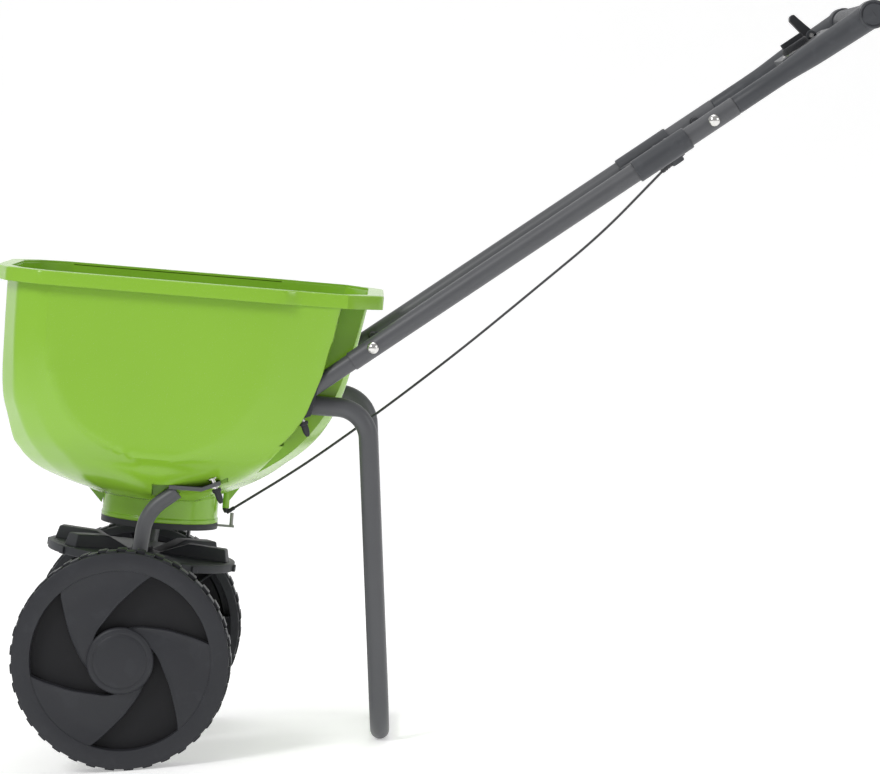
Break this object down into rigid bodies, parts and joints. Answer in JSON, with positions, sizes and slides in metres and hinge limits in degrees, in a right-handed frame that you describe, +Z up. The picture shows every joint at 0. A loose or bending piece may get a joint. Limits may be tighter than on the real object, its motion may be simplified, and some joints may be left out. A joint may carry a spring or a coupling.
{
  "type": "garden spreader",
  "caption": "Walk-behind broadcast garden spreader with a lime green hopper, charcoal wheels, spinning disc and folding-style tube handle",
  "frame": {"origin": "on the ground, straight below the middle of the axle", "axes": "+X to the rear, towards the handle; +Y to the operator's right; +Z up"},
  "size_m": [1.1766, 0.436, 0.9084],
  "materials": {
    "hopper_plastic": "glossy lime green moulded plastic",
    "dark_plastic": "dark grey moulded plastic",
    "grip_plastic": "dark grey plastic with a fine grain",
    "wheel_plastic": "charcoal plastic, slightly mottled",
    "spinner_plastic": "charcoal plastic",
    "gear_plastic": "light grey nylon",
    "tube_paint": "grey powder coat",
    "bolt_steel": "zinc plated steel",
    "cable_jacket": "black cable sheath"
  },
  "bodies": {
    "frame": {"hopper": "hopper_plastic", "base_plate": "dark_plastic", "boss_plug": "dark_plastic", "axle_bracket_left": "tube_paint", "axle_bracket_right": "tube_paint", "axle_bushes": "dark_plastic", "bracket_bolts": "bolt_steel", "bracket_cap_nuts": "dark_plastic", "gearbox_housing": "dark_plastic", "gearbox_cover": "dark_plastic", "frame_socket_left": "dark_plastic", "frame_socket_right": "dark_plastic", "socket_bolts": "bolt_steel", "socket_cap_nuts": "dark_plastic", "stand": "tube_paint", "lower_handle_tube_left": "tube_paint", "lower_handle_tube_right": "tube_paint", "middle_handle_tube_left": "tube_paint", "middle_handle_tube_right": "tube_paint", "upper_arm_left": "grip_plastic", "upper_arm_right": "grip_plastic", "grip_bar": "grip_plastic", "handle_bolts": "bolt_steel", "handle_nuts": "dark_plastic", "cross_brace": "grip_plastic", "cable_boot": "cable_jacket", "cable": "cable_jacket", "console_housing": "grip_plastic", "lever_pin": "bolt_steel"},
    "drive_axle": {"axle": "bolt_steel", "crown_gear": "gear_plastic", "wheel_left": "wheel_plastic", "hub_cap_left": "wheel_plastic"},
    "free_wheel": {"wheel_right": "wheel_plastic", "hub_cap_right": "wheel_plastic"},
    "spinner_body": {"spinner_shaft": "bolt_steel", "pinion": "gear_plastic", "spinner": "spinner_plastic", "agitator": "gear_plastic"},
    "gate": {"gate_plate": "gear_plastic"},
    "lever": {"gate_lever": "dark_plastic"},
    "dial": {"rate_dial": "dark_plastic"}
  },
  "joints": [
    {"name": "axle_turn", "type": "hinge", "parent": "frame", "child": "drive_axle", "pos_m": [0, 0, 0.141], "axis": [0, 1, 0], "continuous": true},
    {"name": "free_wheel_turn", "type": "hinge", "parent": "frame", "child": "free_wheel", "pos_m": [0, 0.19, 0.141], "axis": [0, 1, 0], "continuous": true},
    {"name": "spinner_turn", "type": "hinge", "parent": "frame", "child": "spinner_body", "pos_m": [0, 0, 0.141], "axis": [0.2079, 0, 0.9781], "continuous": true},
    {"name": "gate_slide", "type": "slide", "parent": "frame", "child": "gate", "axis": [0.9877, 0, -0.1564], "range_m": [0, 0.014]},
    {"name": "lever_tilt", "type": "hinge", "parent": "frame", "child": "lever", "pos_m": [0.95805, 0.034, 0.87259], "axis": [0, 1, 0], "range_deg": [0, 35]},
    {"name": "dial_turn", "type": "hinge", "parent": "frame", "child": "dial", "pos_m": [0.93194, -0.02, 0.85781], "axis": [-0.4924, 0, 0.8704], "range_deg": [-135, 135]}
  ],
  "couplings": [
    {"joint": "spinner_turn", "follows": "axle_turn", "ratio": 4},
    {"joint": "gate_slide", "follows": "lever_tilt", "m_per_rad": 0.022918}
  ]
}
